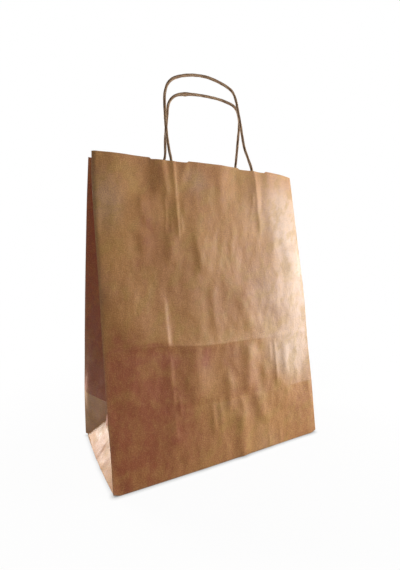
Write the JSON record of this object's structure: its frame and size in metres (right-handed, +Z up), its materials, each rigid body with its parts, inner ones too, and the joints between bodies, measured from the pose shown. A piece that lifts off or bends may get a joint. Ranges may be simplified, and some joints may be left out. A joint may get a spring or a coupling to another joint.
{
  "type": "twisted handle paper bag",
  "caption": "Plain brown kraft carrier bag with a block bottom, side gussets folded inwards and twisted paper cord handles glued inside the top edge.",
  "frame": {"origin": "centre of the base, on the surface the bag stands on", "axes": "+Z up along the bag's height, +Y from the front panel to the back panel across the gussets, +X across the front panel to the right"},
  "size_m": [0.24, 0.12, 0.403],
  "materials": {
    "kraft_paper": "plain brown kraft, matt, with fine fibre flecks",
    "patch_paper": "plain brown kraft, matt",
    "twisted_cord": "kraft paper twisted into a cord, matt"
  },
  "bodies": {
    "root": {"bag_body": "kraft_paper", "front_handle_cord": "twisted_cord", "back_handle_cord": "twisted_cord", "front_outer_patch": "patch_paper", "front_inner_patch": "patch_paper", "back_outer_patch": "patch_paper", "back_inner_patch": "patch_paper"}
  },
  "joints": []
}
